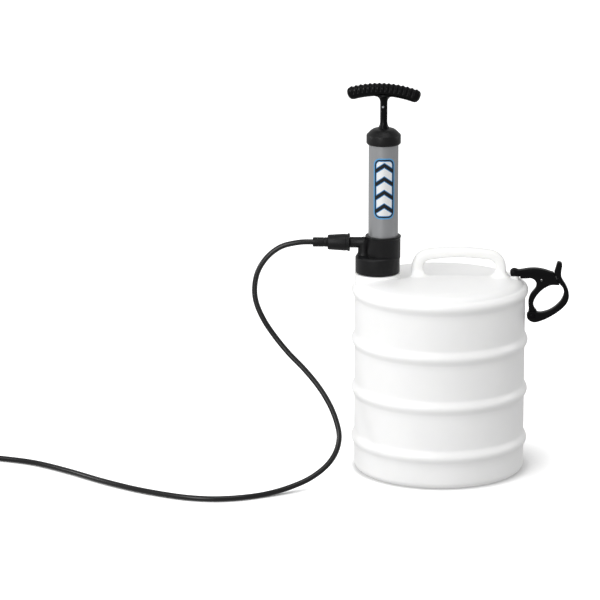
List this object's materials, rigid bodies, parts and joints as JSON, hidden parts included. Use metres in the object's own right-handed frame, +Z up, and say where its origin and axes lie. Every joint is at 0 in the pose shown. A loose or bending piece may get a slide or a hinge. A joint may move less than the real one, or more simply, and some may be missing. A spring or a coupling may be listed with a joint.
{
  "type": "hand vacuum fluid extractor",
  "caption": "Ribbed round plastic tank with a hand plunger pump on its neck, a loop handle, a suction hose and a hinged ring clip for the hose.",
  "frame": {"origin": "centre of the tank's foot, on the floor", "axes": "+Z up along the tank axis; -X towards the pump and the hose, +X towards the hose clip; -Y towards the front, where the crown of the tank top slopes down"},
  "size_m": [0.7735, 0.2596, 0.4612],
  "materials": {
    "hdpe_natural": "translucent natural polyethylene, blow-moulded, satin",
    "black_plastic": "moulded black polypropylene, satin gloss",
    "clip_plastic": "moulded black nylon, satin",
    "barrel_grey": "extruded grey tube, satin gloss",
    "label_film": "printed film",
    "hose_black": "extruded polyethylene tube, glossy",
    "seal_rubber": "moulded nitrile",
    "steel": "bright steel",
    "acetal_white": "machined white acetal"
  },
  "bodies": {
    "tank": {"tank_shell": "hdpe_natural", "tank_handle": "hdpe_natural", "clip_body": "clip_plastic", "clip_pin": "clip_plastic"},
    "head": {"neck_gasket": "seal_rubber", "valve_body": "black_plastic", "barrel": "barrel_grey", "barrel_o_ring": "seal_rubber", "barrel_label": "label_film", "barrel_cap": "black_plastic", "rod_bush": "acetal_white", "rod_wiper": "seal_rubber", "bump_stop": "seal_rubber", "inlet_valve_retainer": "acetal_white", "float_cage": "acetal_white", "port_o_ring": "seal_rubber"},
    "plunger": {"piston": "black_plastic", "piston_cup": "seal_rubber", "piston_washer": "steel"},
    "handle": {"t_handle": "black_plastic", "piston_rod": "steel", "rod_pin": "steel", "piston_nut": "steel"},
    "inlet_valve": {"inlet_valve_disc": "seal_rubber"},
    "overfill_float": {"float_ball": "acetal_white"},
    "hose": {"connector_collar": "black_plastic", "hose_sleeve": "black_plastic", "suction_hose": "hose_black", "hose_coil": "hose_black"},
    "gate": {"clip_gate": "clip_plastic"}
  },
  "joints": [
    {"name": "head_lift_off", "type": "slide", "parent": "tank", "child": "head", "axis": [0, 0, 1], "range_m": [0, 0.06]},
    {"name": "plunger_stroke", "type": "slide", "parent": "head", "child": "plunger", "axis": [0, 0, 1], "range_m": [0, 0.105]},
    {"name": "handle_turn", "type": "hinge", "parent": "plunger", "child": "handle", "pos_m": [-0.0668, 0, 0.41], "axis": [0, 0, 1], "continuous": true},
    {"name": "inlet_valve_lift", "type": "slide", "parent": "head", "child": "inlet_valve", "axis": [0, 0, 1], "range_m": [0, 0.0015]},
    {"name": "float_rise", "type": "slide", "parent": "head", "child": "overfill_float", "axis": [0, 0, 1], "range_m": [0, 0.025]},
    {"name": "hose_pull_off", "type": "slide", "parent": "head", "child": "hose", "axis": [-1, 0, 0], "range_m": [0, 0.03]},
    {"name": "gate_hinge", "type": "hinge", "parent": "tank", "child": "gate", "pos_m": [0.1084, 0, 0.1843], "axis": [0, 1, 0], "range_deg": [0, 75]}
  ]
}
